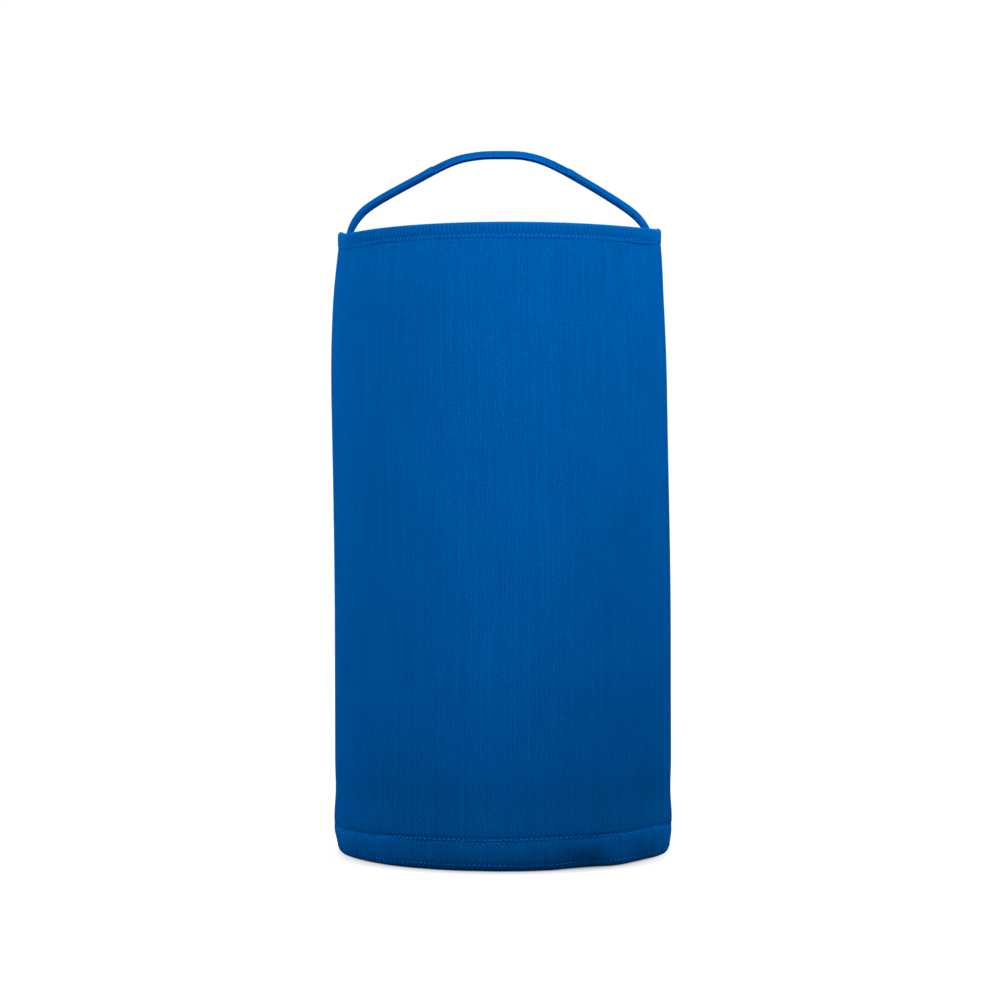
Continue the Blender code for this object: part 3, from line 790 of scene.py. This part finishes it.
def make_stitching():
    def hem_edge(phi):
        return waves(phi, HEM_EDGE_WAVES) * MM

    stitch_row("hem_upper_stitches", "hem_upper_stitching", HEM_STITCHES,
               lambda phi: 81.3 * MM + 0.2 * hem_edge(phi) - 0.5 * MM * (1 - standing(phi)),
               lambda phi: hem_line(phi) - 0.8 * MM, 1.6 * MM, 0.10 * MM, 0.36 * MM, 0.5)
    stitch_row("hem_lower_stitches", "hem_lower_stitching", HEM_STITCHES,
               lambda phi: 80.95 * MM + hem_edge(phi),
               lambda phi: 2.7 * MM + waves(phi, HEM_LIFT_WAVES) * MM,
               1.3 * MM, 0.1 * MM, 0.32 * MM, 0.5)
    stitch_row("mouth_stitches", "top_stitching", RIBS,
               lambda phi: 77.75 * MM,
               lambda phi: 287.9 * MM + rim_lift(phi), 1.1 * MM, 1.8 * MM, 0.32 * MM, 0.5, dashed)


def zigzag(radius_at, low, high, half, pitch, step, size):
    """Path of a zigzag thread up the back."""
    count = int((high - low) / step)
    z = low + (high - low) * np.arange(count + 1) / count
    phase = (z - low) / pitch
    across = half * (2 * np.abs(2 * (phase - np.floor(phase + 0.5))) - 1)
    r = radius_at(z) + size * 0.6
    p = BACK + across / r
    return on_tube(p, r, z)


def make_back_seam():
    """Flatlock seam: a low raised welt with two needle lines and a zigzag between them."""
    low, high = HEM_TOP + 1 * MM, BIND_BOTTOM - 0.4 * MM
    z = np.linspace(low, high, 240)
    across = np.linspace(-1, 1, 17)
    a, zz = np.meshgrid(across, z, indexing="ij")
    proud = 0.75 * MM * np.sqrt(np.clip(1 - a ** 4, 0, 1)) - 0.25 * MM
    proud = proud - 0.18 * MM * bump(np.abs(a), 0.62, 0.12)
    proud = proud + 0.05 * MM * np.cos(zz * TURN / (2.2 * MM))
    phi = BACK + a * 3.0 * MM / BODY_R
    points = on_tube(phi, shell_radius(phi, zz) + proud, zz)
    welt = lattice("back_seam_welt", points, rib_material("seam_knit", scaled(KNIT, 0.95)))
    rides(welt, "sleeve", "thread", "back_seam")
    middle = lambda height: shell_radius(BACK, height) + 0.35 * MM
    up = (0.0, 1.0, 0.0)
    path = zigzag(middle, low, high, 1.7 * MM, SEAM_STITCH, 0.3 * MM, 0.2 * MM)
    parts = [thread(path, 0.2 * MM, up, 5)]
    for side in (-1, 1):
        count = int((high - low) / SEAM_STITCH)
        for i in range(count):
            t = np.linspace(-1, 1, 5)
            height = low + (i + 0.5) * SEAM_STITCH + t * 0.95 * MM
            r = middle(height) + (0.45 - np.abs(t) ** 3) * 0.2 * MM
            parts.append(thread(on_tube(BACK + side * 1.85 * MM / r, r, height), 0.2 * MM, up, 5))
    threads = joined("back_seam_threads", parts, thread_material())
    rides(threads, "sleeve", "thread")


# ------------------------------------------------------------------ lining and gel pack

def lining_base(z):
    """Radius of the lining's inner face, flared out to the hem and to the mouth."""
    body = 71.75 * MM
    low = 1 - smoothstep(z, 16 * MM, 34 * MM)
    high = smoothstep(z, 263 * MM, 277 * MM)
    return body + (78.0 * MM - body) * low + (75.15 * MM - body) * high


def waists(z, width):
    """One at each height where the gel cells are narrowed."""
    return sum(bump(z, height, width) for height in WAISTS)


def lining_radius(phi, z):
    """The lining's face, quilted by the gel cells behind it."""
    weld = np.abs(np.sin(0.5 * CELLS * (phi - BACK)))
    cell = np.clip(weld, 0, 1) ** 0.55
    waist = 1 - 0.55 * waists(z, 0.007)
    over = smoothstep(z, 0.040, 0.056) * (1 - smoothstep(z, 0.244, 0.260))
    puff = 1.5 * MM * (cell * waist * over)
    return lining_base(z) - puff + 0.10 * MM * soft_noise(phi, z, 12, 16, 5.0)


def make_lining():
    around, rows = 384, 190
    low, high = 8.5 * MM, LINING_END + 1.2 * MM
    p, z = np.meshgrid(ring(around), np.linspace(low, high, rows), indexing="ij")
    r = lining_radius(p, z)
    cloth = brushed_material("brushed_knit", LINING)
    lining = lattice("brushed_lining", on_tube(p, r, z)[:, ::-1], cloth,
                     (ring_uv(around, LINING_R), z[0]), wrap_u=True)
    rides(lining, "sleeve", "lining_knit", "inner_lining")
    inner = lambda height: lining_radius(BACK, height) - 0.55 * MM
    seam = zigzag(inner, 15.5 * MM, LINING_END - 0.8 * MM, 1.7 * MM, 2.6 * MM, 0.325 * MM, 0.0)
    parts = [thread(seam, 0.22 * MM, (0.0, 1.0, 0.0), 5)]
    threads = joined("lining_seam_threads", parts, thread_material())
    rides(threads, "sleeve", "thread", "lining_seam")


def pack_half_thickness(phi, z):
    """Half the gel pack's thickness: full in the cells, thin on the welds and waists."""
    cell = np.abs(np.sin(0.5 * CELLS * phi)) ** 0.45
    ends = smoothstep(z, GEL_LOW, GEL_LOW + 12 * MM) * (1 - smoothstep(z, GEL_HIGH - 12 * MM, GEL_HIGH))
    waist = 1 - 0.5 * waists(z, 0.006)
    return (0.35 + 2.45 * cell * ends * waist) * MM


def pack_middle(z):
    outer = shell_radius(FRONT + 0.4, z) - 1.5 * MM
    return 0.5 * (outer + 73.0 * MM)


def make_gel_pack():
    around, rows = 256, 150
    p, z = np.meshgrid(ring(around), np.linspace(FILM_LOW, FILM_HIGH, rows), indexing="ij")
    film = film_material()
    for side, sign in (("outer", 1), ("inner", -1)):
        r = pack_middle(z) + sign * (pack_half_thickness(p, z) + 0.25 * MM)
        piece = lattice(f"film_{side}", on_tube(p, r, z)[:, ::sign], film, wrap_u=True)
        rides(piece, "sleeve", "film", f"gel_film_{side}")
    gel = gel_material()
    turn = TURN / CELLS
    psi = TURN * np.arange(48) / 48
    height = np.linspace(GEL_LOW, GEL_HIGH, 90)
    for k in range(CELLS):
        a, zz = np.meshgrid(psi, height, indexing="ij")
        end = np.minimum(zz - GEL_LOW, GEL_HIGH - zz) / (9 * MM)
        width = np.sqrt(np.clip(1 - (1 - np.clip(end, 0, 1)) ** 2, 0.02, 1))
        spread = np.sign(np.cos(a)) * np.abs(np.cos(a)) ** 0.7
        phi = turn * (k + 0.5) + spread * width * (0.5 * turn - 0.045)
        thick = np.sign(np.sin(a)) * np.abs(np.sin(a)) ** 0.9
        r = pack_middle(zz) + thick * pack_half_thickness(phi, zz) * np.sqrt(width)
        points = on_tube(phi, r, zz).transpose(1, 0, 2)
        cell = lattice(f"gel_pad_{k + 1}", points, gel, wrap_v=True, caps=True)
        rides(cell, "sleeve", "gel", f"gel_cell_{k + 1}")


# ------------------------------------------------------------------ handle

# The strap's centre line from left to right, X and Z in mm: each end, the rim, the shoulder,
# the flank and the crown
ARCH = (
    (-72, 272.5), (-72.4, 287), (-73.2, 296), (-68.5, 305), (-60, 312), (-42, 322), (-24, 331.2),
    (-12, 334.2), (0, 334.8), (12, 334.2),
    (24, 330.5), (42, 320.8), (60, 309.6), (68, 302.6), (72.2, 295), (72.1, 287), (72.1, 272.5))
COVER_END = 32.0 * MM        # where the two covers end over the grip, either side of the middle


def outward(line):
    """The line's normals, away from the inside of the loop."""
    tangent = np.gradient(line, axis=0)
    tangent /= np.linalg.norm(tangent, axis=1)[:, None]
    return np.stack([-tangent[:, 1], tangent[:, 0]], -1)


def arch_frames(count):
    """Points along the strap with their outward normals."""
    line = smooth_line(ARCH, count) * MM
    return line, outward(line)


def strap_piece(name, line, normal, section, material):
    """Sweep section(x, z) -> rows of (out, across) along the line, and close both ends."""
    rings = []
    for (x, z), (nx, nz) in zip(line, normal):
        outline = section(x, z)
        rings.append([(x + nx * out, across, z + nz * out) for out, across in outline])
    points = np.asarray(rings)[:, ::-1]
    return lattice(name, points, material, wrap_v=True, caps=True)


def rounded_section(low, high, half, corner, side_points=5):
    """A flat strip's outline from low to high and half to each side, as (out, across) rows."""
    middle, thick = 0.5 * (low + high), 0.5 * (high - low)
    corner = min(corner, 0.9 * thick)
    arc = np.linspace(0, TURN / 4, 5)
    cos, sin = corner * np.cos(arc), corner * np.sin(arc)
    edge = np.linspace(-(thick - corner), thick - corner, side_points + 2)[1:-1]
    face = np.linspace(half - corner, -(half - corner), 9)[1:-1]
    across = np.concatenate([half + 0 * edge, half - corner + cos, face, corner - half - sin,
                             -half + 0 * edge, corner - half - cos, -face, half - corner + sin])
    out = np.concatenate([edge, thick - corner + sin, thick + 0 * face, thick - corner + cos,
                          -edge, corner - thick - sin, -thick + 0 * face, corner - thick - cos])
    return np.stack([middle + out, across], -1)


def make_strap():
    line, normal = arch_frames(620)
    ribs = rib_material("strap_rib", STRAP, 0.95 * MM, 0.07, 0.012 * MM, 0.0)
    tape_cloth = rib_material("tape_weave", TAPE, 0.8 * MM, 0.07, 0.012 * MM, 0.0)
    draw = np.random.default_rng(21)
    phase = draw.uniform(0, TURN, 6)

    def wander(x, k):
        return math.sin(x / (9 * MM) + phase[k]) * 0.5 + math.sin(x / (23 * MM) + phase[k + 1]) * 0.5

    def cover(x, z):
        rooted = 1 - smoothstep(z, 292 * MM, 308 * MM)
        lap = 1 - smoothstep(abs(x), COVER_END + 1 * MM, COVER_END + 7 * MM)
        tip = 1 - math.sqrt(max(0.0, 1 - max(0.0, 1 - (abs(x) - COVER_END) / (1.2 * MM)) ** 2))
        low = (-0.98 + 0.25 * rooted - 0.40 * lap) * MM
        high = (1.60 - 0.60 * rooted + 0.25 * lap + 0.05 * wander(x, 0) - 0.30 * tip) * MM
        half = STRAP_HALF_W * (1 + 0.015 * wander(x, 1)) - 0.35 * MM * tip
        return rounded_section(low, high, half, 0.40 * MM)

    def tape(x, z):
        end = smoothstep(z, 288.5 * MM, 293 * MM)
        rooted = 1 - smoothstep(z, 292 * MM, 308 * MM)
        low = (-1.60 + 0.30 * rooted + 0.05 * wander(x, 2)) * MM
        high = (-1.08 + 0.25 * rooted) * MM
        return rounded_section(low, high, (STRAP_HALF_W - 0.25 * MM) * (0.5 + 0.5 * end), 0.2 * MM)

    def grip(x, z):
        near = smoothstep(abs(x), 14 * MM, 28 * MM)
        inside = smoothstep(abs(x), COVER_END, COVER_END + 2.5 * MM)
        t = (1.55 + 0.05 * near - 0.75 * inside) * MM
        narrow = 0.35 + 0.65 * (1 - near) + 0.9 * inside
        outline = rounded_section(-t, t, STRAP_HALF_W - narrow * MM, (0.25 + 0.15 * near) * MM, 21)
        edge = smoothstep(np.abs(outline[:, 1]), STRAP_HALF_W - 1.4 * MM, STRAP_HALF_W - 0.5 * MM)
        grooves = np.cos(outline[:, 0] / t * 2.0 * math.pi) ** 6
        outline[:, 1] -= np.sign(outline[:, 1]) * (0.04 + 0.18 * near) * MM * grooves * edge
        outline[:, 0] += (1 - near) * (0.13 * outline[:, 1] + 0.42 * MM)
        return outline

    for side, sign in (("left", -1), ("right", 1)):
        keep = line[:, 0] * sign > COVER_END
        piece = strap_piece(f"strap_cover_{side}_knit", line[keep], normal[keep], cover, ribs)
        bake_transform(piece)
        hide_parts(f"strap_cover_{side}", f"strap_root_{side}")
    keep = line[:, 1] > 288.5 * MM
    piece = strap_piece("strap_under_tape", line[keep], normal[keep], tape, tape_cloth)
    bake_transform(piece)
    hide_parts("strap_tape")
    keep = np.abs(line[:, 0]) < COVER_END + 3 * MM
    fine = smooth_line(line[keep] / MM, 320) * MM
    piece = strap_piece("strap_grip_knit", fine, outward(fine), grip, ribs)
    rides(piece, "handle", "strap_knit", "grip_wrap")


def make_strap_stitches():
    """Dotted stitching along the covers and bar tacks where covers and grip meet."""
    line, normal = arch_frames(900)
    along = np.concatenate([[0], np.cumsum(np.linalg.norm(np.diff(line, axis=0), axis=1))])
    dark = thread_material("tack_thread", scaled(KNIT, 0.45))
    even = thread_material("strap_thread", scaled(STRAP, 0.9))

    def at(x_value):
        i = int(np.argmin(np.where(line[:, 1] > 300 * MM, np.abs(line[:, 0] - x_value), 1.0)))
        return along[i]

    def point(s, out, across):
        x, z = (np.interp(s, along, line[:, k]) for k in range(2))
        nx, nz = (np.interp(s, along, normal[:, k]) for k in range(2))
        return np.stack([x + nx * out, across + 0 * x, z + nz * out], -1)

    for side, sign in (("left", -1), ("right", 1)):
        start, stop = at(sign * 34 * MM), at(sign * 67 * MM)
        parts = []
        for face in (-1, 1):
            up = (0.0, float(face), 0.0)
            for i in range(int(abs(stop - start) / STRAP_STITCH)):
                s = start + np.sign(stop - start) * (i + 0.5) * STRAP_STITCH
                t = np.linspace(-1, 1, 5)
                path = point(s + t * 0.70 * MM, -0.72 * MM,
                             face * (STRAP_HALF_W + (-0.02 - 0.1 * np.abs(t) ** 3) * MM))
                parts.append(thread(path, 0.09 * MM, up, 5))
        row = joined(f"strap_stitches_{side}", parts, even)
        rides(row, "handle", "thread", f"strap_stitching_{side}")
        parts = []
        for face in (-1, 1):
            up = (0.0, float(face), 0.0)
            for offset in (-3.6, -1.6):
                s = at(sign * 30.5 * MM) + sign * offset * MM
                t = np.linspace(-1, 1, 5)
                path = point(s + t * 0.25 * MM, (-0.35 + 0.45 * t) * MM,
                             face * (STRAP_HALF_W + (-0.42 - 0.2 * np.abs(t) ** 3) * MM))
                parts.append(thread(path, 0.24 * MM, up, 6))
        tacks = joined(f"grip_tacks_{side}", parts, dark)
        rides(tacks, "handle", "thread", f"grip_whipping_{side}")


def make_anchors():
    """Patches inside the mouth, and the box stitching that holds the strap's ends to them."""
    cloth = brushed_material("patch_knit", scaled(LINING, 1.1))
    for side, sign in (("left", -1), ("right", 1)):
        middle = RIGHT if sign > 0 else LEFT
        a, b = np.meshgrid(np.linspace(-1, 1, 33), np.linspace(-1, 1, 25), indexing="ij")
        edge = np.clip(np.maximum(np.abs(a), np.abs(b)), 0, 1)
        dome = 0.75 * MM * (1 - edge ** 8)
        phi = middle + a * 0.128
        height = 0.5 * (PATCH_LOW.z + PATCH_HIGH.z) + b * 0.5 * (PATCH_HIGH.z - PATCH_LOW.z)
        r = 74.75 * MM - dome
        flip = slice(None, None, -1)
        points = np.stack([r * np.cos(phi), r * np.sin(phi), height], -1)
        patch = lattice(f"anchor_patch_{side}_knit", points[:, flip], cloth)
        rides(patch, "sleeve", "lining_knit", f"anchor_patch_{side}")
        x = sign * (ROOT_LOW.x - 0.12 * MM)
        w, h = STRAP_HALF_W - 1.2 * MM, 0.5 * (ROOT_HIGH.z - ROOT_LOW.z) - 2.2 * MM
        z0 = ROOT_LOW.z + h + 1.6 * MM
        corners = [(-w, -h), (w, -h), (w, h), (-w, h), (-w, -h), (w, h), (-w, h), (w, -h)]
        parts = []
        for (y0, c0), (y1, c1) in zip(corners, corners[1:]):
            span = math.hypot(y1 - y0, c1 - c0)
            count = max(2, round(span / (2.2 * MM)))
            for i in range(count):
                t = np.linspace(0.12, 0.88, 5)
                f = (i + t) / count
                path = np.stack([x - sign * 0.14 * MM * (1 - (2 * t - 1) ** 4), y0 + (y1 - y0) * f,
                                 z0 + c0 + (c1 - c0) * f], -1)
                parts.append(thread(path, 0.17 * MM, (1.0, 0.0, 0.0), 5))
        box = joined(f"anchor_stitches_{side}", parts, thread_material())
        rides(box, "sleeve", "thread", f"anchor_stitching_{side}")


def dress_elastic():
    obj = bpy.data.objects["top_elastic"]
    material = elastic_material()
    for slot in obj.material_slots:
        slot.material = material


# ------------------------------------------------------------------ build

make_camera()
make_light()
make_floor()
make_shell()
make_hem()
make_binding()
make_stitching()
make_back_seam()
make_lining()
make_gel_pack()
make_strap()
make_strap_stitches()
make_anchors()
dress_elastic()
